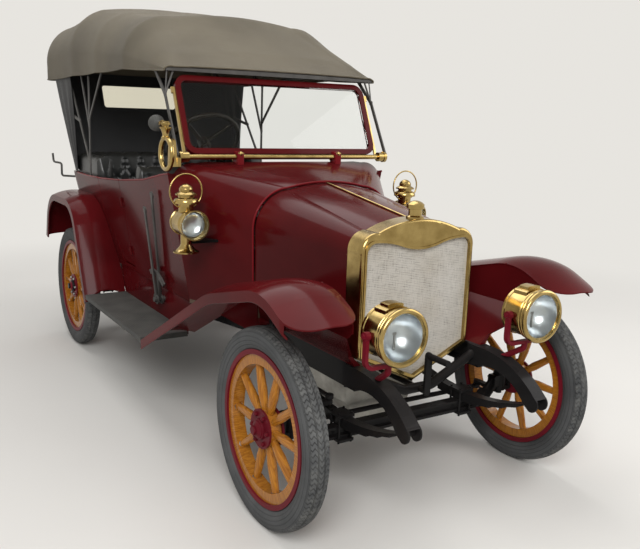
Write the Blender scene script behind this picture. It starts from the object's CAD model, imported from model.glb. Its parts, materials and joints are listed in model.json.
"""Open touring car with its hood up: finishes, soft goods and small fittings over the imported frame."""
import json
import math

import bmesh
import bpy
from mathutils import Matrix, Vector, noise


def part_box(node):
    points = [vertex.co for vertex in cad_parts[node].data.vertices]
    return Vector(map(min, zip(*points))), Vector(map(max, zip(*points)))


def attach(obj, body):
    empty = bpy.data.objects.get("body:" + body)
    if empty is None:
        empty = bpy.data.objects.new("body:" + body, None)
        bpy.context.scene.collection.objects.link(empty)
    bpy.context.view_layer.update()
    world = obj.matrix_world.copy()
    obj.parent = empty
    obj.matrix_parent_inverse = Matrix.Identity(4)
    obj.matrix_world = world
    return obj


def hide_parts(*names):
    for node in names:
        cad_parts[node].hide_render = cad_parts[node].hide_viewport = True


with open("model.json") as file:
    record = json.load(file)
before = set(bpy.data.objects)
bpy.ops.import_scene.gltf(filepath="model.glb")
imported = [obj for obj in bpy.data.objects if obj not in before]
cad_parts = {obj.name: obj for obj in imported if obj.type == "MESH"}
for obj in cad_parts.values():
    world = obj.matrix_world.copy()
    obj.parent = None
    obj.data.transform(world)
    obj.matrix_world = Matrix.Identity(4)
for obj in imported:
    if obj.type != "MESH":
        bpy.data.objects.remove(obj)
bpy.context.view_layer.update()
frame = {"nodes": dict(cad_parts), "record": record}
nodes = frame["nodes"]
scene = bpy.context.scene


# Finishes: node trees, three shared groups and the materials built with them
class Graph:
    """A node tree being built; each input is a constant or the socket that feeds it."""

    def __init__(self, tree):
        self.tree = tree

    def feed(self, node, inputs):
        for socket, value in inputs.items():
            if isinstance(value, bpy.types.NodeSocket):
                self.tree.links.new(value, node.inputs[socket])
            else:
                node.inputs[socket].default_value = value
        return node

    def add(self, kind, inputs=None, **settings):
        node = self.tree.nodes.new("ShaderNode" + kind)
        for key, value in settings.items():
            setattr(node, key, value)
        return self.feed(node, inputs or {})

    def math(self, operation, *values):
        return self.add("Math", dict(enumerate(values)), operation=operation).outputs[0]

    def times(self, first, second):
        return self.math("MULTIPLY", first, second)

    def mapped(self, value, low=0.0, high=1.0, to_low=0.0, to_high=1.0, **settings):
        inputs = {"Value": value, "From Min": low, "From Max": high, "To Min": to_low, "To Max": to_high}
        return self.add("MapRange", inputs, **settings).outputs["Result"]

    def mix(self, share, first, second, data_type="RGBA", **settings):
        inputs = {"Factor": share, "A": first, "B": second}
        return self.add("Mix", inputs, data_type=data_type, **settings).outputs["Result"]

    def ramp(self, value, low, high, low_at=0.0, high_at=1.0):
        """A colour between two, by where the value lies between two places."""
        made = self.add("ValToRGB", {"Fac": value})
        for element, place, colour in zip(made.color_ramp.elements, (low_at, high_at), (low, high)):
            element.position = place
            element.color = (*colour, 1)
        return made.outputs["Color"]

    def split(self, vector):
        return self.add("SeparateXYZ", {0: vector}).outputs

    def fold(self, value):
        """Distance from the middle of each whole step of the value."""
        return self.math("ABSOLUTE", self.math("SUBTRACT", self.math("FRACT", value), 0.5))

    def seen_rays(self):
        """One for what the camera sees, directly, mirrored or through glass."""
        rays = self.add("LightPath").outputs
        first = self.math("MAXIMUM", rays["Is Camera Ray"], rays["Is Glossy Ray"])
        return self.math("MAXIMUM", first, rays["Is Transmission Ray"])


class Group(Graph):
    """A shader node group being built, with named sockets."""

    def __init__(self, name, inputs, outputs):
        super().__init__(bpy.data.node_groups.new(name, "ShaderNodeTree"))
        sockets = self.tree.interface
        for socket, kind, default in inputs:
            made = sockets.new_socket(name=socket, in_out="INPUT", socket_type="NodeSocket" + kind)
            if default is not None:
                made.default_value = default
        for socket, kind in outputs:
            sockets.new_socket(name=socket, in_out="OUTPUT", socket_type="NodeSocket" + kind)
        self.given = self.tree.nodes.new("NodeGroupInput").outputs
        self.result = self.tree.nodes.new("NodeGroupOutput")


def make_mottle_group():
    """Two tones mixed by soft noise, for paint, metal, cloth and leather."""
    group = Group("mottle", [
        ("Vector", "Vector", None), ("Scale", "Float", 4.0), ("Detail", "Float", 4.0), ("Contrast", "Float", 0.5),
        ("Low", "Color", (0, 0, 0, 1)), ("High", "Color", (1, 1, 1, 1)),
    ], [("Color", "Color")])
    given = group.given
    cloud = group.add("TexNoise", {socket: given[socket] for socket in ("Vector", "Scale", "Detail")})
    low = group.times(given["Contrast"], 0.5)
    share = group.mapped(cloud.outputs["Fac"], low, group.math("SUBTRACT", 1.0, low))
    group.feed(group.result, {"Color": group.mix(share, given["Low"], given["High"])})
    return group.tree


def make_dust_group():
    """Thin dust that settles on what faces up."""
    group = Group("dust", [
        ("Color", "Color", (0.1, 0.1, 0.1, 1)), ("Dust", "Color", (0.35, 0.31, 0.26, 1)), ("Amount", "Float", 0.2),
        ("Roughness", "Float", 0.3), ("Vector", "Vector", None),
    ], [("Color", "Color"), ("Roughness", "Float")])
    given = group.given
    normal = group.split(group.add("NewGeometry").outputs["Normal"])
    cloud = group.add("TexNoise", {"Vector": given["Vector"], "Scale": 9.0, "Detail": 6.0})
    spread = group.times(group.mapped(normal["Z"], -0.1), cloud.outputs["Fac"])
    amount = group.times(spread, given["Amount"])
    dusty_roughness = 0.8
    group.feed(group.result, {
        "Color": group.mix(amount, given["Color"], given["Dust"]),
        "Roughness": group.mix(amount, given["Roughness"], dusty_roughness, "FLOAT"),
    })
    return group.tree


def make_weave_group():
    """Over-and-under threads: height of a plain weave."""
    group = Group("weave", [("Vector", "Vector", None), ("Threads", "Float", 600.0)], [("Height", "Float")])
    scaled = group.add("VectorMath", {0: group.given["Vector"], "Scale": group.given["Threads"]}, operation="SCALE")
    x, y, z = [group.math("SINE", part) for part in group.split(scaled.outputs["Vector"])]
    height = group.math("ADD", group.times(x, y), group.times(y, z))
    group.feed(group.result, {"Height": height})
    return group.tree


mottle_group = make_mottle_group()
dust_group = make_dust_group()
weave_group = make_weave_group()


class Finish(Graph):
    """A material being built on its Principled shader, in Object coordinates."""

    def __init__(self, name, roughness=0.5, metallic=0.0):
        self.material = bpy.data.materials.new(name)
        self.material.use_nodes = True
        super().__init__(self.material.node_tree)
        self.where = self.add("TexCoord").outputs["Object"]
        self.set({"Roughness": roughness, "Metallic": metallic})

    def set(self, inputs):
        self.feed(self.tree.nodes["Principled BSDF"], inputs)

    def mottled(self, low, high, scale=4.0, detail=4.0, contrast=0.5):
        inputs = {"Low": (*low, 1), "High": (*high, 1), "Scale": scale, "Detail": detail, "Contrast": contrast}
        return self.add("Group", {"Vector": self.where, **inputs}, node_tree=mottle_group).outputs["Color"]

    def dusted(self, colour, roughness, amount, dust=(0.35, 0.31, 0.26)):
        """Dust over a colour; the shader takes its colour and roughness from here."""
        inputs = {"Color": colour, "Roughness": roughness, "Amount": amount, "Dust": (*dust, 1)}
        made = self.add("Group", {"Vector": self.where, **inputs}, node_tree=dust_group).outputs
        self.set({"Base Color": made["Color"], "Roughness": made["Roughness"]})

    def bumped(self, height, strength, distance=0.002):
        bump = self.add("Bump", {"Strength": strength, "Distance": distance, "Height": height})
        self.set({"Normal": bump.outputs["Normal"]})

    def noise(self, scale, detail=3.0, vector=None, distortion=0.0):
        inputs = {"Vector": vector or self.where, "Scale": scale, "Detail": detail, "Distortion": distortion}
        return self.add("TexNoise", inputs).outputs["Fac"]

    def stretched(self, scale):
        return self.add("Mapping", {"Vector": self.where, "Scale": scale}).outputs["Vector"]

    def round_axle(self, centre):
        """X from the centre, and the radius and the angle round the X axis through it."""
        moved = self.add("Mapping", {"Vector": self.where, "Location": tuple(-value for value in centre)})
        x, y, z = self.split(moved.outputs["Vector"])
        radius = self.math("SQRT", self.math("MULTIPLY_ADD", z, z, self.times(y, y)))
        return x, radius, self.math("ARCTAN2", y, z)


def make_paint(name, low, high, dust=0.03, roughness=0.17):
    """Old gloss coach paint under varnish, slightly wavy and dusty on top."""
    finish = Finish(name)
    finish.dusted(finish.mottled(low, high, 2.2, 5.0, 0.55), roughness, dust, (0.12, 0.08, 0.065))
    finish.set({"Specular IOR Level": 0.05, "Coat Weight": 0.05, "Coat Roughness": 0.03})
    finish.bumped(finish.noise(26.0, 2.0), 0.04, 0.001)
    return finish.material


def make_metal(name, low, high, roughness, bump=0.04, dust=0.06, metallic=1.0):
    """Bare metal with a changing polish."""
    finish = Finish(name, metallic=metallic)
    tone = finish.mottled(low, high, 14.0, 6.0)
    worn = finish.mapped(finish.noise(30.8, 5.0), to_low=roughness * 0.75, to_high=min(1.0, roughness * 1.6))
    finish.dusted(tone, worn, dust)
    finish.bumped(finish.noise(160.0, 2.0), bump, 0.0006)
    return finish.material


def make_glass(name, tint, roughness):
    """Clear pane, faintly smeared."""
    finish = Finish(name)
    finish.set({"Transmission Weight": 1.0, "IOR": 1.18})
    haze = finish.mapped(finish.noise(6.0, 4.0), 0.45, to_low=roughness, to_high=roughness + 0.02)
    finish.set({"Base Color": finish.mottled([c * 0.94 for c in tint], tint, 1.5), "Roughness": haze})
    return finish.material


def make_tyre_rubber(name, centre):
    """Grey rubber with zigzag blocks and two channels on the tread, and rings on the walls."""
    finish = Finish(name)
    finish.set({"Specular IOR Level": 0.2})
    blocks_round, steps_per_metre, channel_from_middle = 116, 62.0, 0.0125
    x, radius, angle = finish.round_axle(centre)
    zigzag = finish.fold(finish.times(x, steps_per_metre))
    block = finish.fold(finish.math("MULTIPLY_ADD", angle, blocks_round / (2 * math.pi), zigzag))
    channel = finish.math("ABSOLUTE", finish.math("SUBTRACT", finish.math("ABSOLUTE", x), channel_from_middle))
    tread = finish.math("MINIMUM", finish.mapped(block, 0.06, 0.13), finish.mapped(channel, 0.0012, 0.0032))
    on_tread = finish.mapped(radius, 0.3655, 0.3700)
    rings = finish.mapped(finish.fold(finish.times(radius, steps_per_metre)), 0.02, 0.07)
    shape = finish.mix(on_tread, finish.times(rings, 0.35), tread, "FLOAT")
    tone = finish.mottled((0.046, 0.048, 0.050), (0.098, 0.100, 0.101), 9.0, 8.0, 0.3)
    grooves = finish.times(finish.math("SUBTRACT", 1.0, tread), on_tread)
    shade = finish.mix(finish.times(grooves, 0.55), tone, (0.020, 0.020, 0.020, 1))
    pale = finish.times(finish.mapped(finish.noise(34.0, 7.0), 0.42, 0.72), on_tread)
    chalk = finish.mix(finish.times(pale, 0.5), shade, (0.19, 0.19, 0.18, 1))
    finish.dusted(chalk, 0.82, 0.2, (0.20, 0.19, 0.17))
    finish.bumped(finish.math("MULTIPLY_ADD", finish.noise(110.0, 6.0), 0.30, shape), 1.0, 0.006)
    return finish.material


def make_spoke_wood(name, centre):
    """Varnished wood whose grain runs out along each spoke."""
    finish = Finish(name)
    x, radius, angle = finish.round_axle((0.0, centre[1], centre[2]))
    parts = {axis: finish.times(value, factor)
             for axis, value, factor in (("X", angle, 22.0), ("Y", x, 14.0), ("Z", radius, 5.0))}
    grain = finish.noise(3.0, 7.0, finish.add("CombineXYZ", parts).outputs["Vector"], 0.4)
    finish.dusted(finish.ramp(grain, (0.21, 0.066, 0.006), (0.48, 0.195, 0.020), 0.30, 0.72), 0.24, 0.05)
    finish.set({"Specular IOR Level": 0.15, "Coat Weight": 0.25, "Coat Roughness": 0.04})
    finish.bumped(grain, 0.08, 0.001)
    return finish.material


def make_plank_wood():
    """Dark boards with grain along the car."""
    finish = Finish("floor_boards")
    grain = finish.noise(4.0, 7.0, finish.stretched((26.0, 2.0, 26.0)))
    finish.dusted(finish.ramp(grain, (0.035, 0.02, 0.012), (0.12, 0.07, 0.04)), 0.6, 0.2)
    finish.bumped(grain, 0.2, 0.002)
    return finish.material


def make_core_mesh():
    """Fine whitish cells of the radiator's core, unevenly stained."""
    finish = Finish("radiator_cells", roughness=0.6)
    x, _, z = finish.split(finish.where)
    columns = finish.math("SINE", finish.times(x, 1150.0))
    rows = finish.math("SINE", finish.times(z, 900.0))
    upright = finish.noise(1.0, 4.0, finish.stretched((260.0, 1.0, 34.0)))
    level = finish.noise(1.0, 4.0, finish.stretched((34.0, 1.0, 260.0)))
    cells = finish.times(finish.math("MAXIMUM", columns, rows), 0.4)
    patchy = finish.math("MULTIPLY_ADD", finish.math("ADD", upright, level), 1.25, cells)
    mask = finish.mapped(patchy, 0.55, 1.35)
    bright = finish.ramp(mask, (0.10, 0.09, 0.08), (0.56, 0.54, 0.50))
    stain = finish.mottled((0.78, 0.74, 0.68), (1.0, 1.0, 1.0), 5.0)
    finish.set({"Base Color": finish.mix(1.0, bright, stain, blend_type="MULTIPLY")})
    finish.bumped(mask, 0.6, 0.002)
    return finish.material


def make_cloth(name, low, high, threads, stain=(0.16, 0.13, 0.09), roughness=0.9, sheen=0.25):
    """Woven proofed cloth with stains and fading."""
    finish = Finish(name)
    finish.dusted(finish.mottled(low, high, 2.6, 8.0, 0.58), roughness, 0.22, stain)
    weave = finish.add("Group", {"Vector": finish.where, "Threads": threads}, node_tree=weave_group)
    height = finish.math("MULTIPLY_ADD", finish.noise(30.0, 6.0), 1.5, weave.outputs["Height"])
    finish.bumped(height, 0.32, 0.0012)
    finish.set({"Sheen Weight": sheen, "Sheen Roughness": 0.5})
    return finish.material


def make_leather(name, low, high):
    """Grained leather with soft creases."""
    finish = Finish(name)
    finish.dusted(finish.mottled(low, high, 7.0, 6.0, 0.55), 0.32, 0.10)
    cells = finish.add("TexVoronoi", {"Vector": finish.where, "Scale": 260.0}).outputs["Distance"]
    finish.bumped(finish.math("MULTIPLY_ADD", finish.noise(22.0, 7.0), 1.6, cells), 0.28, 0.0014)
    return finish.material


def make_ribbed_mat():
    """Grey rubber mat with fine ribs along the board."""
    finish = Finish("board_rubber_mat")
    ribs = finish.math("SINE", finish.times(finish.split(finish.where)["X"], 520.0))
    tone = finish.mottled((0.026, 0.027, 0.025), (0.060, 0.059, 0.054), 9.0, 7.0, 0.55)
    finish.dusted(tone, 0.7, 0.2, (0.10, 0.095, 0.08))
    finish.bumped(ribs, 0.25, 0.0012)
    return finish.material


def make_reflector():
    """Silvered metal, slightly uneven."""
    finish = Finish("silvered_reflector", roughness=0.3, metallic=1.0)
    finish.set({"Base Color": finish.mottled((0.42, 0.44, 0.46), (0.62, 0.64, 0.66), 20.0)})
    finish.bumped(finish.noise(60.0, 3.0), 0.05, 0.001)
    return finish.material


maroon = make_paint("coach_paint_maroon", (0.055, 0.0034, 0.0042), (0.100, 0.0055, 0.0070))
guard_maroon = make_paint("mudguard_paint_maroon", (0.055, 0.0036, 0.0046), (0.105, 0.0060, 0.0078), roughness=0.15)
bead_red = make_paint("bead_paint_red", (0.13, 0.007, 0.010), (0.19, 0.011, 0.015))
wheel_red = make_paint("wheel_paint_red", (0.10, 0.006, 0.012), (0.17, 0.010, 0.020), 0.10, 0.3)
chassis_black = make_paint("chassis_paint_black", (0.007, 0.007, 0.0075), (0.016, 0.015, 0.015), 0.07, 0.26)
rim_black = make_paint("steering_rim_black", (0.008, 0.007, 0.006), (0.02, 0.016, 0.012), 0.05, 0.25)
brass = make_metal("polished_brass", (0.26, 0.175, 0.056), (0.50, 0.365, 0.142), 0.16)
aluminium = make_metal("cast_aluminium", (0.30, 0.29, 0.26), (0.55, 0.54, 0.50), 0.5, bump=0.3, dust=0.25)
steel = make_metal("worn_steel", (0.16, 0.155, 0.15), (0.36, 0.35, 0.335), 0.34)
iron_grey = make_metal("hood_iron_enamel", (0.035, 0.033, 0.03), (0.09, 0.085, 0.08), 0.45, metallic=0.3)
glass = make_glass("clear_pane", (0.96, 0.985, 0.975), 0.0)
pane_celluloid = make_glass("yellowed_pane", (0.85, 0.82, 0.68), 0.12)
hood_cloth = make_cloth(
    "hood_cloth_khaki", (0.078, 0.063, 0.038), (0.128, 0.106, 0.068), 2600.0, (0.09, 0.074, 0.050), sheen=0.08
)
lining_cloth = make_cloth("hood_lining_dark", (0.035, 0.032, 0.028), (0.07, 0.065, 0.055), 2600.0)
curtain_cloth = make_cloth(
    "curtain_cloth_black", (0.007, 0.007, 0.008), (0.016, 0.016, 0.017), 2200.0, (0.06, 0.055, 0.05), 0.6, 0.03
)
leather = make_leather("buttoned_leather_black", (0.008, 0.009, 0.009), (0.024, 0.025, 0.024))
mat_rubber = make_ribbed_mat()
reflector = make_reflector()

slot_finishes = {
    "body_paint": maroon,
    "chassis_black": chassis_black,
    "wheel_red": wheel_red,
    "brass": brass,
    "core_metal": make_core_mesh(),
    "crankcase_aluminium": aluminium,
    "hood_cloth": hood_cloth,
    "curtain_black": curtain_cloth,
    "seat_leather": leather,
    "clear_glass": glass,
    "board_mat": mat_rubber,
    "lever_steel": steel,
    "wheel_rim_black": rim_black,
}


def paint(node, finish):
    mesh = nodes[node].data
    mesh.materials.clear()
    mesh.materials.append(finish)


def wheel_centre(wheel):
    low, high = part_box(f"tyre_{wheel}")
    return Vector([(a + b) / 2 for a, b in zip(low, high)])


wheel_names = ("front_right", "front_left", "rear_right", "rear_left")
for row in frame["record"]["subparts"]:
    if row["material_slot"] in slot_finishes:
        paint(row["node"], slot_finishes[row["material_slot"]])
for wheel_name in wheel_names:
    paint(f"spokes_{wheel_name}", make_spoke_wood(f"spoke_varnish_{wheel_name}", wheel_centre(wheel_name)))
    paint(f"tyre_{wheel_name}", make_tyre_rubber(f"tyre_rubber_{wheel_name}", wheel_centre(wheel_name)))
for node_name, finish in (
    ("floor", make_plank_wood()), ("front_mudguards", guard_maroon), ("rear_mudguards", guard_maroon),
    ("splash_aprons", guard_maroon), ("hood_irons", iron_grey), ("control_levers", iron_grey),
    ("rear_window", pane_celluloid),
):
    paint(node_name, finish)


# Modelling by hand: primitives, picks, modifiers and copies
front_axle = 1.4375  # metres ahead of the frame's middle


def station(at):
    """Place along the car, in metres, of a distance behind the front axle."""
    return at - front_axle


def only(piece):
    bpy.ops.object.select_all(action="DESELECT")
    piece.select_set(True)
    bpy.context.view_layer.objects.active = piece


def start(shape, **where):
    """A primitive at its size and place, alone selected, with its place in its mesh."""
    bpy.ops.object.select_all(action="DESELECT")
    getattr(bpy.ops.mesh, f"primitive_{shape}_add")(**where)
    bpy.ops.object.transform_apply(location=True, rotation=True, scale=True)
    return bpy.context.object


def pick(piece, test, kind="FACE"):
    """In edit mode, select what passes a test on a face's middle and normal, or an edge's middle and the edge."""
    bpy.ops.mesh.select_mode(type=kind)
    bpy.ops.mesh.select_all(action="DESELECT")
    mesh = bmesh.from_edit_mesh(piece.data)
    if kind == "FACE":
        chosen = [face for face in mesh.faces if test(face.calc_center_median(), face.normal)]
    else:
        chosen = [edge for edge in mesh.edges if test((edge.verts[0].co + edge.verts[1].co) / 2, edge)]
    for item in chosen:
        item.select_set(True)
    mesh.select_flush_mode()
    bmesh.update_edit_mesh(piece.data)


def edit(on=True):
    bpy.ops.object.mode_set(mode="EDIT" if on else "OBJECT")


def select_all():
    bpy.ops.mesh.select_all(action="SELECT")


def extrude(x, y, z):
    """Draw the selected faces out along a vector."""
    bpy.ops.mesh.extrude_region_move(TRANSFORM_OT_translate={"value": (x, y, z)})


def applied(piece, kind, **settings):
    """A modifier on the piece, applied at once."""
    modifier = piece.modifiers.new(kind.lower(), kind)
    for key, value in settings.items():
        setattr(modifier, key, value)
    only(piece)
    bpy.ops.object.modifier_apply(modifier=modifier.name)


def rounded(piece, width, segments=2, **limit):
    """Bevel the piece's sharp edges."""
    applied(piece, "BEVEL", width=width, segments=segments, limit_method="ANGLE", **limit)


def finished(piece, name, finish, body="chassis", angle=40.0, lining=None):
    """Name, finish, smooth and mount a piece."""
    piece.name = name
    piece.data.name = name
    piece.data.materials.clear()
    piece.data.materials.append(finish)
    if lining:
        piece.data.materials.append(lining)
    only(piece)
    bpy.ops.object.shade_smooth_by_angle(angle=math.radians(angle))
    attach(piece, body)
    return piece


def copied(piece, matrices):
    """Copies of a piece at each matrix, joined into one; the pattern itself goes."""
    made = []
    for matrix in matrices:
        twin = piece.copy()
        twin.data = piece.data.copy()
        twin.data.transform(matrix)
        scene.collection.objects.link(twin)
        made.append(twin)
    bpy.data.objects.remove(piece)
    only(made[0])
    for twin in made:
        twin.select_set(True)
    bpy.ops.object.join()
    return bpy.context.object


def tube(points, radius, resolution=3, cyclic=False):
    """A round bar along points, made a mesh."""
    bpy.ops.object.select_all(action="DESELECT")
    bpy.ops.curve.primitive_nurbs_path_add(location=(0, 0, 0))
    bar = bpy.context.object
    bar.data.splines.clear()
    spline = bar.data.splines.new("POLY")
    spline.points.add(len(points) - 1)
    for place, point in zip(spline.points, points):
        place.co = (*point, 1)
    spline.use_cyclic_u = cyclic
    bar.data.bevel_depth = radius
    bar.data.bevel_resolution = resolution
    bar.data.use_fill_caps = True
    bpy.ops.object.convert(target="MESH")
    return bpy.context.object


def arc_point(first, middle, last, share):
    """Point on the circle through three points, at a share of the way along."""
    (ax, ay), (bx, by), (cx, cy) = first, middle, last
    double = 2 * (ax * (by - cy) + bx * (cy - ay) + cx * (ay - by))
    a, b, c = ax * ax + ay * ay, bx * bx + by * by, cx * cx + cy * cy
    ux = (a * (by - cy) + b * (cy - ay) + c * (ay - by)) / double
    uy = (a * (cx - bx) + b * (ax - cx) + c * (bx - ax)) / double
    begin = math.atan2(ay - uy, ax - ux)
    sweep = (math.atan2(cy - uy, cx - ux) - begin) % (2 * math.pi)
    if (math.atan2(by - uy, bx - ux) - begin) % (2 * math.pi) > sweep:
        sweep -= 2 * math.pi
    radius = math.hypot(ax - ux, ay - uy)
    return ux + radius * math.cos(begin + sweep * share), uy + radius * math.sin(begin + sweep * share)


def mixed(a, b, share):
    return a + (b - a) * share


# Hood: one sheet over the bows, from the front edge to the foot of its back
# Columns: behind the front axle; half width; heights of the hem and of the side's top; half width of the roof
# between its corners; heights of those corners and of the crown
hood_rows = (
    (1.150, 0.600, 1.703, 1.712, 0.550, 1.724, 1.730),
    (1.311, 0.611, 1.710, 1.738, 0.489, 1.809, 1.823),
    (1.650, 0.635, 1.725, 1.800, 0.360, 2.005, 2.035),
    (2.137, 0.640, 1.720, 1.831, 0.391, 2.067, 2.097),
    (2.600, 0.645, 1.715, 1.860, 0.420, 2.125, 2.155),
    (3.250, 0.645, 1.703, 1.800, 0.460, 2.065, 2.085),
    (3.325, 0.610, 1.703, 1.790, 0.430, 2.020, 2.040),
)
hood_sag = (0.002, 0.008, 0.012, 0.012, 0.014, 0.001)  # hollow of the cloth behind each row
roof_end, side_start = 0.48, 0.86  # shares of the way from the crown to a hem
seam_span = 0.9  # between the two seams along the roof


def hood_outline(row, across):
    """Place in a row's section: across is 0 at the crown and -1 or 1 at the hems."""
    _, half, hem, side_top, flat, roof, crown = row
    side = -1.0 if across < 0 else 1.0
    reach = abs(across)
    if reach < roof_end:
        x, z = arc_point((-flat, roof), (0, crown), (flat, roof), 0.5 + reach / (2 * roof_end))
    elif reach < side_start:
        bulge = (flat + 0.76 * (half - flat), side_top + 0.62 * (roof - side_top))
        x, z = arc_point((flat, roof), bulge, (half, side_top), (reach - roof_end) / (side_start - roof_end))
    else:
        x, z = half, mixed(side_top, hem, (reach - side_start) / (1 - side_start))
    return side * x, z


def hood_point(across, along):
    """Point of the cloth; along counts rows, and past the last one it drops down the back."""
    last = len(hood_rows) - 1
    if along > last:
        x, z = hood_outline(hood_rows[last], across)
        drop = along - last
        hollow = 0.010 * math.sin(math.pi * drop)
        fold = 0.002 * math.sin(math.pi * drop) * math.sin(across * 19.0)
        return Vector((x, station(hood_rows[last][0]) - hollow + fold, mixed(z, hood_rows[last][2], drop)))
    row = min(int(along), last - 1)
    share = along - row
    before, after = hood_rows[row], hood_rows[row + 1]
    (x0, z0), (x1, z1) = hood_outline(before, across), hood_outline(after, across)
    point = Vector((mixed(x0, x1, share), station(mixed(before[0], after[0], share)), mixed(z0, z1, share)))
    reach = abs(across)
    side = -1.0 if across < 0 else 1.0
    hollow = hood_sag[row] * 4 * share * (1 - share)
    inward = Vector((-side * reach ** 3, 0, -(1 - 0.8 * reach ** 2)))
    crease = noise.noise(Vector((point.x * 5.0, point.y * 2.2, point.z * 7.0)) + Vector((3.1, 0.7, 5.3)))
    pleat = math.exp(-((reach - 0.5) / 0.16) ** 2) * math.sin(point.y * 34.0 + reach * 9.0) * 0.0016
    return point + inward * (hollow + 0.0035 * crease * min(1.0, 5 * share * (1 - share) + 0.15) + pleat)


def make_hood():
    """Two-layer cloth with its seams, and the binding round its hem."""
    skin = start("grid", x_subdivisions=100, y_subdivisions=98, size=2.0)
    for point in skin.data.vertices:
        point.co = hood_point(point.co.x, (point.co.y + 1) / 2 * len(hood_rows))
        if abs(abs(point.co.x / seam_span) - 0.5) < 0.02:
            point.co.z += 0.0012
    edit()
    select_all()
    bpy.ops.mesh.remove_doubles(threshold=0.0004)
    pick(skin, lambda middle, edge: len(edge.link_faces) == 1, "EDGE")
    bpy.ops.mesh.duplicate()
    bpy.ops.mesh.separate(type="SELECTED")
    edit(False)
    hem = next(o for o in bpy.context.selected_objects if o != skin)
    applied(skin, "SOLIDIFY", thickness=0.003, offset=-1.0, material_offset=1)
    finished(skin, "hood_cloth_sheet", hood_cloth, angle=70, lining=lining_cloth)
    only(hem)
    bpy.ops.object.convert(target="CURVE")
    hem = bpy.context.object
    hem.data.bevel_depth = 0.0042
    hem.data.bevel_resolution = 2
    bpy.ops.object.convert(target="MESH")
    hem = finished(bpy.context.object, "hood_hem_binding", hood_cloth, angle=70)
    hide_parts("hood_canopy")


# Curtain behind the rear seats, with its window's frame
# Columns: height; half width; back, behind the front axle; radius of the rear corners
curtain_low = (1.1123, 0.588, 3.011, 0.230)
curtain_high = (1.760, 0.625, 3.300, 0.160)
curtain_front = 2.760
corner_start, corner_end = 0.45, 0.70  # shares of the way from the middle of the back to a front end
window_half, window_low, window_high, window_middle = 0.268, 1.522, 1.688, 1.605
frame_width, frame_height = 0.578, 0.208


def curtain_outline(row, across):
    """Place on the curtain's plan line: across is 0 behind and -1 or 1 at the front ends."""
    _, half, back, corner = row
    side = -1.0 if across < 0 else 1.0
    reach = abs(across)
    if reach < corner_start:
        x, at = (half - corner) * reach / corner_start, back
    elif reach < corner_end:
        turn = (reach - corner_start) / (corner_end - corner_start) * math.pi / 2
        x, at = half - corner + corner * math.sin(turn), back - corner + corner * math.cos(turn)
    else:
        x, at = half, mixed(back - corner, curtain_front, (reach - corner_end) / (1 - corner_end))
    return side * x, station(at)


def make_curtain():
    """Loose cloth with its window cut out, between an inner and an outer frame."""
    cloth = start("grid", x_subdivisions=120, y_subdivisions=30, size=2.0)
    for point in cloth.data.vertices:
        across, up = -point.co.x, (point.co.y + 1) / 2
        (x0, y0), (x1, y1) = curtain_outline(curtain_low, across), curtain_outline(curtain_high, across)
        place = Vector((mixed(x0, x1, up), mixed(y0, y1, up), mixed(curtain_low[0], curtain_high[0], up)))
        middle = Vector((0, station(2.75), place.z))
        outward = (place - middle).normalized()
        loose = 4 * up * (1 - up)
        fold = math.sin(across * 47.0 + 2.0 * up) * 0.0022 * max(0.0, abs(across) - 0.42) / 0.2
        crease = noise.noise(Vector((place.x * 4, place.y * 4, place.z * 2.2))) * 0.003
        point.co = place + outward * (-0.0025 + loose * (fold + crease))
    edit()
    for middle, normal in (
        ((window_half, 0, 0), (1, 0, 0)), ((-window_half, 0, 0), (1, 0, 0)),
        ((0, 0, window_low), (0, 0, 1)), ((0, 0, window_high), (0, 0, 1)),
    ):
        select_all()
        bpy.ops.mesh.bisect(plane_co=middle, plane_no=normal)
    pick(cloth, lambda c, n: abs(c.x) < window_half and window_low < c.z < window_high and c.y > station(3.0))
    bpy.ops.mesh.delete(type="FACE")
    edit(False)
    applied(cloth, "SOLIDIFY", thickness=0.003, offset=0.0)
    finished(cloth, "back_curtain_sheet", curtain_cloth, angle=70)
    (low_z, _, low_back, _), (high_z, _, high_back, _) = curtain_low, curtain_high
    slope = math.atan2(high_back - low_back, high_z - low_z)
    window_y = station(mixed(low_back, high_back, (window_middle - low_z) / (high_z - low_z)))
    for face, gap in (("inside", -0.0075), ("outside", 0.002)):
        frame_piece = start("plane", size=1.0)
        edit()
        select_all()
        bpy.ops.transform.resize(value=(frame_width, frame_height, 1.0))
        bpy.ops.mesh.bevel(offset=0.04, segments=7, affect="VERTICES")
        bpy.ops.mesh.inset(thickness=0.021)
        bpy.ops.mesh.delete(type="FACE")
        edit(False)
        applied(frame_piece, "SOLIDIFY", thickness=0.004, offset=0.0)
        rounded(frame_piece, 0.0012)
        frame_piece.data.transform(
            Matrix.Translation((0, window_y + gap, window_middle)) @ Matrix.Rotation(math.pi / 2 - slope, 4, "X")
        )
        finished(frame_piece, f"rear_window_frame_{face}", curtain_cloth, angle=30)
    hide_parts("back_curtain")


# Seats: buttoned backs with pleats, and crowned cushions
pleat_pitch = 0.115  # between buttons along a seat's back
face_end, roll_end = 0.62, 0.84  # shares of the way up the buttoned face and over the top
roll_height = 0.045


def groove(distance, width):
    return math.exp(-((distance / width) ** 2))


def off_step(value, pitch=pleat_pitch):
    """Distance to the nearest whole step, in metres."""
    return abs(value - round(value)) * pitch


def button_rows(low, top):
    """Height of each row of buttons, and its shift in steps."""
    return (low + 0.30 * (top - low), 0.5), (low + 0.62 * (top - low), 0.0)


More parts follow.
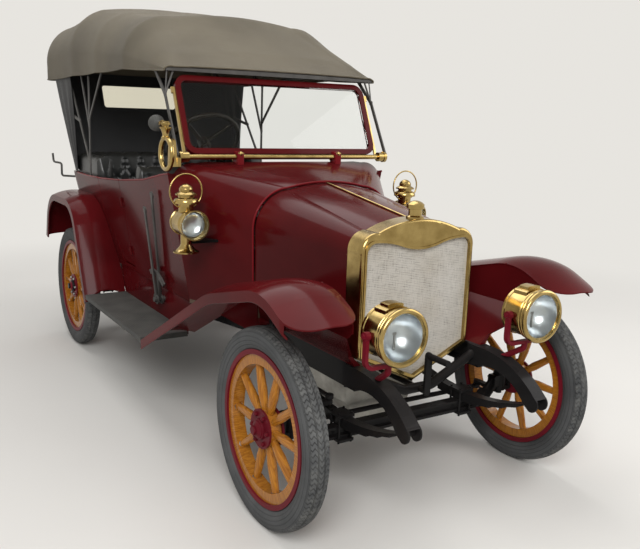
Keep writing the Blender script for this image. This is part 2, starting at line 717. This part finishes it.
def tuft_depth(along, height, low, top):
    """How far the buttoned face is drawn in, from 0 on a crown to 1 at a button."""
    rows = button_rows(low, top)
    (lower, _), (upper, _) = rows
    column = along / pleat_pitch
    depth = 0.0
    if height > upper:
        depth = 0.55 * groove(off_step(column), 0.011)
    elif height < lower:
        depth = 0.45 * groove(off_step(column - 0.5), 0.011)
    else:
        share = (height - lower) / (upper - lower)
        for slope in (1, -1):
            line = column - 0.5 - slope * 0.5 * share
            depth = max(depth, 0.55 * groove(off_step(line), 0.010))
    for row, shift in rows:
        depth = max(depth, groove(math.hypot(off_step(column - shift), height - row), 0.017))
    return depth


def make_padded_back(name, node, path, low, top):
    """Buttoned pad along a plan path of (x, y, inward x, inward y, metres along)."""
    columns = len(path) - 1
    pad = start("grid", x_subdivisions=columns, y_subdivisions=44, size=2.0)
    stuffing = 0.093
    for point in pad.data.vertices:
        x, y, in_x, in_y, along = path[min(columns, round((point.co.x + 1) / 2 * columns))]
        loop = (point.co.y + 1) / 2
        if loop < face_end:
            height = mixed(low, top - roll_height, loop / face_end)
            crown = 0.008 * math.sin(math.pi * loop / face_end)
            out = stuffing - 0.022 * tuft_depth(along, height, low, top) + crown
        elif loop < roll_end:
            turn = (loop - face_end) / (roll_end - face_end) * math.pi
            half = stuffing / 2
            pleat = 0.010 * groove(off_step(along / pleat_pitch), 0.010) * math.sin(turn)
            height = top - roll_height + 0.043 * math.sin(turn) - pleat
            out = half + half * math.cos(turn)
        else:
            height = mixed(top - roll_height, low, (loop - roll_end) / (1 - roll_end))
            out = 0.0
        point.co = Vector((x + in_x * out, y + in_y * out, height))
    edit()
    select_all()
    bpy.ops.mesh.remove_doubles(threshold=0.0005)
    pick(pad, lambda middle, edge: len(edge.link_faces) == 1 and middle.z < low + 0.0005, "EDGE")
    bpy.ops.mesh.bridge_edge_loops()
    select_all()
    bpy.ops.mesh.fill_holes(sides=0)
    select_all()
    bpy.ops.mesh.normals_make_consistent(inside=False)
    bpy.ops.mesh.select_mode(type="FACE")
    bpy.ops.mesh.select_all(action="DESELECT")
    bpy.ops.mesh.select_face_by_sides(number=4, type="GREATER", extend=False)
    bpy.ops.mesh.poke(offset=0.016)
    edit(False)
    finished(pad, name, leather, angle=80)
    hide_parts(node)
    button = start("uv_sphere", segments=14, ring_count=8, radius=0.008)
    last, matrices = None, []
    for row, shift in button_rows(low, top):
        for x, y, in_x, in_y, along in path:
            place, inward = Vector((x, y, row)), Vector((in_x, in_y, 0))
            repeated = last and (last - place).length < 0.03
            if off_step(along / pleat_pitch - shift) < 0.0075 and not repeated:
                turn = inward.to_track_quat("Z", "Y").to_matrix().to_4x4()
                seat = Matrix.Translation(place + inward * (stuffing - 0.014))
                matrices.append(seat @ turn @ Matrix.Diagonal((1, 1, 0.55, 1)))
                last = place
    finished(copied(button, matrices), f"{name}_buttons", leather)


def plan_path(points):
    """Points, inward normals and distance along a plan polyline, every step."""
    path, along, step = [], 0.0, 0.0125
    for (x0, y0), (x1, y1) in zip(points, points[1:]):
        length = math.hypot(x1 - x0, y1 - y0)
        count = max(1, round(length / step))
        for i in range(count):
            share = i / count
            path.append((mixed(x0, x1, share), mixed(y0, y1, share), along + length * share))
        along += length
    path.append((*points[-1], along))
    made = []
    for i, (x, y, distance) in enumerate(path):
        before, after = path[max(0, i - 2)], path[min(len(path) - 1, i + 2)]
        dx, dy = after[0] - before[0], after[1] - before[1]
        size = math.hypot(dx, dy)
        made.append((x, y, dy / size, -dx / size, distance - along / 2))
    return made


def make_seat_backs():
    """Straight back in front; round the tub behind."""
    front = plan_path([(0.506, station(1.846)), (-0.506, station(1.846))])
    front = [(x, y, 0.0, -1.0, along) for x, y, _, _, along in front]
    make_padded_back("front_seat_back", "front_backrest", front, 0.982, 1.212)
    half, back, corner = 0.568, 2.968, 0.195
    points = [(half, station(2.372)), (half, station(back - corner))]
    for turn in range(1, 12):
        angle = math.pi / 2 * turn / 12
        points.append((half - corner + corner * math.cos(angle), station(back - corner + corner * math.sin(angle))))
    points += [(half - corner, station(back)), (0, station(back))]
    points += [(-x, y) for x, y in reversed(points[:-1])]
    rear = plan_path(points)
    rear = [(x, y, -in_x, -in_y, along) if in_x * x + in_y * (y - station(2.4)) > 0 else (x, y, in_x, in_y, along)
            for x, y, in_x, in_y, along in rear]
    make_padded_back("rear_seat_back", "rear_backrest", rear, 0.982, 1.232)


def make_seat_cushion(name, node, half, front, back, low, top):
    """Stuffed cushion: crowned top in pleats, sides that pull in between the corners."""
    middle = (front + back) / 2
    depth = (back - front) / 2
    roll, pleat_step, steps = 0.026, 0.114, 64
    cushion = start("cube", size=2.0)
    edit()
    select_all()
    bpy.ops.mesh.subdivide(number_cuts=47)
    edit(False)
    for point in cushion.data.vertices:
        u, v, w = point.co
        crown = (1 - abs(u) ** 6) * (1 - abs(v) ** 6)
        x = u * (half - 0.004 - 0.007 * (1 - v * v) * (1 - w * w))
        y = v * (depth - 0.004 - 0.007 * (1 - u * u) * (1 - w * w))
        z = mixed(low + 0.001, top - 0.022, (w + 1) / 2)
        if w > -0.98:
            pleat = groove(off_step(x / pleat_step, pleat_step), 0.009)
            z += (0.021 * crown - 0.013 * pleat * crown) * (w + 1) / 2
        edge = min(half - abs(x), depth - abs(y))
        if w > 0.96 and edge < roll:
            z -= roll * (1 - math.sqrt(max(0.0, 1 - ((roll - edge) / roll) ** 2))) * 0.75
        point.co = Vector((x, station(middle) + y, z))
    applied(cushion, "SMOOTH", factor=0.5, iterations=3)
    finished(cushion, name, leather, angle=80)
    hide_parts(node)
    for level, lift, pull in (("lower", low + 0.018, 0.006), ("upper", top - 0.036, 0.009)):
        ring = []
        for turn in range(steps):
            angle = 2 * math.pi * turn / steps
            c, s = math.cos(angle), math.sin(angle)
            scale = 1 / max(abs(c), abs(s))
            u, v = c * scale, s * scale
            x = u * (half - 0.003 - pull * (1 - v * v))
            y = v * (depth - 0.003 - pull * (1 - u * u))
            ring.append((x, station(middle) + y, lift))
        finished(tube(ring, 0.0035, 2, True), f"{name}_piping_{level}", leather)


make_hood()
make_curtain()
make_seat_backs()
make_seat_cushion("front_seat_cushion", "front_cushion", 0.456, 1.420, 1.800, 0.8503, 0.9803)
make_seat_cushion("rear_seat_cushion", "rear_cushion", 0.456, 2.340, 2.755, 0.8503, 0.9803)


# Wheels: hub nuts, stepped hub caps and ferrules at the felloe
along_x = (0, math.pi / 2, 0)  # turns a cylinder onto the X axis


def make_nut(radius, depth):
    """Hexagon nut with rounded corners and the end of its stud, standing on X = 0 and pointing along +X."""
    nut = start("cylinder", vertices=6, radius=radius, depth=depth, location=(depth / 2, 0, 0), rotation=along_x)
    edit()
    pick(nut, lambda c, n: n.x > 0.9)
    bpy.ops.mesh.inset(thickness=radius * 0.36)
    extrude(depth * 0.45, 0, 0)
    edit(False)
    rounded(nut, radius * 0.10, angle_limit=math.radians(40))
    return nut


def round_wheel(centre, side, offset, radius, count, shift):
    """Places round a wheel's axis, facing outwards."""
    made = []
    for i in range(count):
        angle = 2 * math.pi * (i + shift) / count
        place = centre + Vector((side * offset, radius * math.sin(angle), radius * math.cos(angle)))
        made.append(Matrix.Translation(place) @ Matrix.Rotation(0.0 if side > 0 else math.pi, 4, "Z"))
    return made


def make_wheel_fittings(wheel):
    """Nuts, step and cap on the hub, and a ferrule at each spoke's end."""
    centre = wheel_centre(wheel)
    side = 1.0 if centre.x > 0 else -1.0
    body = f"wheel_{wheel}"
    front = wheel.startswith("front")
    hub_finish = wheel_red if front else chassis_black
    flange_face, nut_circle = 0.0313, 0.057
    nuts = copied(make_nut(0.0095, 0.008), round_wheel(centre, side, flange_face, nut_circle, 6, 0.5))
    finished(nuts, f"hub_nuts_{wheel}", hub_finish if front else steel, body)
    ring = start("cylinder", vertices=48, radius=0.0395, depth=0.009, rotation=along_x,
                 location=centre + Vector((side * 0.0355, 0, 0)))
    edit()
    pick(ring, lambda c, n: n.x * side > 0.9)
    bpy.ops.mesh.inset(thickness=0.0055)
    extrude(side * 0.006, 0, 0)
    bpy.ops.mesh.inset(thickness=0.004)
    edit(False)
    rounded(ring, 0.0012)
    finished(ring, f"hub_step_{wheel}", hub_finish, body)
    cap = start("cylinder", vertices=6, radius=0.019, depth=0.012, rotation=along_x,
                location=centre + Vector((side * 0.0585, 0, 0)))
    edit()
    pick(cap, lambda c, n: n.x * side > 0.9)
    bpy.ops.mesh.inset(thickness=0.004)
    edit(False)
    rounded(cap, 0.002, 3)
    finished(cap, f"hub_cap_hexagon_{wheel}", hub_finish, body)
    ferrule = start("cylinder", vertices=24, radius=0.0182, depth=0.006)
    edit()
    pick(ferrule, lambda c, n: n.z < -0.9)
    bpy.ops.mesh.inset(thickness=0.002)
    edit(False)
    rounded(ferrule, 0.0008)
    spokes, felloe = 10, 0.2425
    out = Matrix.Translation((0, 0, felloe))
    turns = [Matrix.Rotation(2 * math.pi * (i + 0.5) / spokes, 4, "X") for i in range(spokes)]
    ferrules = copied(ferrule, [Matrix.Translation(centre) @ turn @ out for turn in turns])
    finished(ferrules, f"spoke_ferrules_{wheel}", steel, body)


# Lamps: silvered bowls with their burners
sides = ((-1, "right"), (1, "left"))


def make_bowl(name, radius, depth, place):
    """Half ellipsoid open to the front."""
    bowl = start("uv_sphere", segments=48, ring_count=28, radius=radius, rotation=(math.pi / 2, 0, 0))
    edit()
    select_all()
    bpy.ops.mesh.bisect(plane_co=(0, 0, 0), plane_no=(0, 1, 0), clear_inner=True)
    select_all()
    bpy.ops.transform.resize(value=(1, depth / radius, 1))
    edit(False)
    applied(bowl, "SOLIDIFY", thickness=0.001, offset=-1.0)
    bowl.data.transform(Matrix.Translation(place))
    finished(bowl, name, reflector, angle=60)


def make_lamp_insides():
    """Bowls of all four lamps, and the headlamps' burners."""
    for side, lamp_side in sides:
        front = Vector((side * 0.338, station(-0.395), 0.788))
        make_bowl(f"headlamp_reflector_{lamp_side}", 0.0852, 0.092, front + Vector((0, 0.0165, 0)))
        foot = front + Vector((0, 0.062, -0.030))
        burner = start("cylinder", vertices=16, radius=0.0045, depth=0.05, location=foot)
        edit()
        pick(burner, lambda c, n: n.z > 0.9)
        bpy.ops.mesh.inset(thickness=0.0012)
        extrude(0, 0, 0.006)
        bpy.ops.transform.resize(value=(2.6, 0.9, 1))
        extrude(0, 0, 0.007)
        edit(False)
        rounded(burner, 0.0008)
        finished(burner, f"headlamp_burner_{lamp_side}", steel)
        drum = Vector((side * 0.618, station(0.845), 1.030))
        make_bowl(f"sidelamp_reflector_{lamp_side}", 0.052, 0.030, drum + Vector((0, -0.084, 0)))


# Painted beads along the bonnet's rear edge and the body's top edge
def make_scuttle_bead():
    """Bead up one side of the scuttle, over its crown and down the other side."""
    half, side_top, flat, roof, crown = 0.3785, 1.000, 0.2055, 1.1965, 1.2205
    bulge = (flat + 0.72 * (half - flat), side_top + 0.70 * (roof - side_top))
    outline = [(0.3735 + 0.001 * i, mixed(0.78, side_top, i / 5)) for i in range(5)]
    outline += [arc_point((half, side_top), bulge, (flat, roof), i / 16) for i in range(16)]
    outline += [arc_point((-flat, roof), (0, crown), (flat, roof), 1 - i / 16) for i in range(8)]
    bead_y = station(0.6570)
    points = [(x, bead_y, z) for x, z in outline]
    points += [(0, bead_y, crown)] + [(-x, y, z) for x, y, z in reversed(points)]
    finished(tube(points, 0.0048, 3), "scuttle_bead", bead_red, angle=60)


# Columns: behind the front axle; height of the body's top edge
body_top_line = (
    (1.056, 1.232), (1.140, 1.222), (1.430, 1.172), (1.840, 1.134), (2.200, 1.113), (2.550, 1.104), (2.900, 1.108),
)


def top_point(side, at):
    """Place of the bead on the leaning wall's top edge."""
    foot_half, foot_z, lean, inset = 0.508, 0.600, 0.18, 0.0035
    for (a0, z0), (a1, z1) in zip(body_top_line, body_top_line[1:]):
        if at <= a1:
            z = mixed(z0, z1, (at - a0) / (a1 - a0))
            break
    return Vector((side * (foot_half + lean * (z - foot_z) - inset), station(at), z - 0.0005))


def make_top_bead(side, first, last, name, body):
    """A length of bead that rides a body."""
    count = max(2, round((last - first) / 0.05))
    points = [top_point(side, mixed(first, last, i / count)) for i in range(count + 1)]
    finished(tube(points, 0.0055), name, bead_red, body, 60)


def make_top_beads():
    """A bead on each door, which rides the door, and one on each length of body between them."""
    doors = {"right": ("door_rear_right",), "left": ("door_front_left", "door_rear_left")}
    door_end, body_gap, front_end, rear_end = 0.004, 0.012, 1.058, 2.720
    for side, side_name in sides:
        stops = [front_end]
        for door in doors[side_name]:
            low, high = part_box(door)
            first, last = low[1] + front_axle + door_end, high[1] + front_axle - door_end
            make_top_bead(side, first, last, f"{door}_bead", door)
            stops += [first - body_gap, last + body_gap]
        stops.append(rear_end)
        for number, (first, last) in enumerate(zip(stops[::2], stops[1::2])):
            make_top_bead(side, first, last, f"body_bead_{side_name}_{number + 1}", "chassis")


# Windscreen: painted sleeves over the two clamps, each with a domed nut
def make_screen_clamps():
    """Two sleeves, drawn out of their side outlines."""
    clamp_x, width = 0.280, 0.033
    outline = ((0.9795, 1.243), (0.9795, 1.328), (0.990, 1.3355), (1.0540, 1.3425), (1.0500, 1.330), (1.0260, 1.243))
    for side, clamp_side in sides:
        sleeve = start("circle", vertices=6, radius=0.02, fill_type="NGON", rotation=along_x)
        for point, (at, z) in zip(sleeve.data.vertices, outline):
            point.co = Vector((side * clamp_x - width / 2, station(at), z))
        edit()
        select_all()
        extrude(width, 0, 0)
        select_all()
        bpy.ops.mesh.normals_make_consistent(inside=False)
        edit(False)
        rounded(sleeve, 0.004, 3)
        finished(sleeve, f"screen_clamp_{clamp_side}", bead_red)
        place = (side * clamp_x, station(0.985), 1.330)
        nut = start("uv_sphere", segments=20, ring_count=12, radius=0.010, location=place)
        edit()
        pick(nut, lambda c, n: n.z < -0.5)
        extrude(0, 0, -0.004)
        edit(False)
        finished(nut, f"screen_clamp_nut_{clamp_side}", brass, angle=60)


# Horn: rubber bulb over its core, with the ring at its neck
def make_horn_bulb():
    """Bulb drawn out to its neck."""
    place = (-0.640, station(1.149), 1.461)
    bulb = start("uv_sphere", segments=36, ring_count=20, radius=0.0387, location=place, rotation=(math.pi / 2, 0, 0))
    edit()
    pick(bulb, lambda c, n: n.y < -0.93)
    extrude(0, -0.010, 0)
    bpy.ops.transform.resize(value=(0.9, 1, 0.9))
    edit(False)
    applied(bulb, "SUBSURF", levels=1, render_levels=1)
    finished(bulb, "horn_bulb_rubber", mat_rubber, angle=60)


for wheel_name in wheel_names:
    make_wheel_fittings(wheel_name)
make_lamp_insides()
make_scuttle_bead()
make_top_beads()
make_screen_clamps()
make_horn_bulb()


# Studio
background_tone = (0.80, 0.78, 0.74, 1)


def make_floor():
    """Pale floor that turns into the background's tone far from the car."""
    floor = start("plane", size=80.0)
    floor.name = "studio_floor"
    finish = Finish("pale_floor", roughness=0.9)
    tone = finish.mix(finish.noise(1.3, 2.0), (0.70, 0.68, 0.645, 1), (0.74, 0.72, 0.685, 1))
    finish.set({"Specular IOR Level": 0.1, "Base Color": tone})
    distance = finish.add("VectorMath", {0: finish.where}, operation="LENGTH").outputs["Value"]
    far = finish.mapped(distance, 2.4, 5.5, interpolation_type="SMOOTHSTEP")
    glow = finish.add("Emission", {"Color": background_tone})
    share = finish.times(far, finish.seen_rays())
    shader = finish.tree.nodes["Principled BSDF"]
    mix = finish.add("MixShader", {0: share, 1: shader.outputs[0], 2: glow.outputs[0]})
    finish.feed(finish.tree.nodes["Material Output"], {"Surface": mix.outputs[0]})
    floor.data.materials.append(finish.material)


def make_world():
    """Soft grey light, with the background's tone on the rays that are seen."""
    world = bpy.data.worlds.new("studio_world")
    scene.world = world
    world.use_nodes = True
    graph = Graph(world.node_tree)
    light = graph.feed(graph.tree.nodes["Background"], {"Color": (0.80, 0.80, 0.80, 1), "Strength": 0.40})
    seen = graph.add("Background", {"Color": background_tone, "Strength": 1.0})
    mix = graph.add("MixShader", {0: graph.seen_rays(), 1: light.outputs[0], 2: seen.outputs[0]})
    graph.feed(graph.tree.nodes["World Output"], {0: mix.outputs[0]})


def make_lamp(name, place, aim, size, power):
    lamp = bpy.data.lights.new(name, "AREA")
    lamp.size = size
    lamp.energy = power
    holder = bpy.data.objects.new(name, lamp)
    scene.collection.objects.link(holder)
    holder.location = place
    holder.rotation_euler = (Vector(aim) - Vector(place)).to_track_quat("-Z", "Y").to_euler()


def make_camera():
    """Camera where the photograph was taken."""
    place = Vector((-1.9259, -3.7593, 1.5182))
    yaw, pitch, roll = math.radians(31.8275), math.radians(11.7404), math.radians(1.8683)
    forward = Vector((math.sin(yaw) * math.cos(pitch), math.cos(yaw) * math.cos(pitch), -math.sin(pitch)))
    right = Vector((math.cos(yaw), -math.sin(yaw), 0.0))
    up = right.cross(forward)
    right, up = right * math.cos(roll) + up * math.sin(roll), up * math.cos(roll) - right * math.sin(roll)
    camera = bpy.data.cameras.new("camera")
    width, height = 640.0, 549.0
    focal_length, axis_x, axis_y = 760.5265, 309.1358, 273.5922  # in the photograph's pixels
    camera.sensor_width = 36.0
    camera.lens = 36.0 * focal_length / width
    camera.shift_x = (width / 2 - axis_x) / width
    camera.shift_y = (axis_y - height / 2) / width
    holder = bpy.data.objects.new("camera", camera)
    scene.collection.objects.link(holder)
    turn = Matrix((right, up, -forward)).transposed().to_4x4()
    holder.matrix_world = Matrix.Translation(place) @ turn
    scene.camera = holder


make_floor()
make_world()
make_lamp("key", (-3.5, -5.5, 4.5), (0, -0.4, 0.8), 3.0, 330)
make_lamp("fill", (5.0, -3.0, 3.5), (0, 0, 0.8), 4.0, 150)
make_lamp("top", (0.0, 1.5, 6.0), (0, 0.2, 0.8), 5.0, 220)
make_camera()
scene.view_settings.view_transform = "Standard"
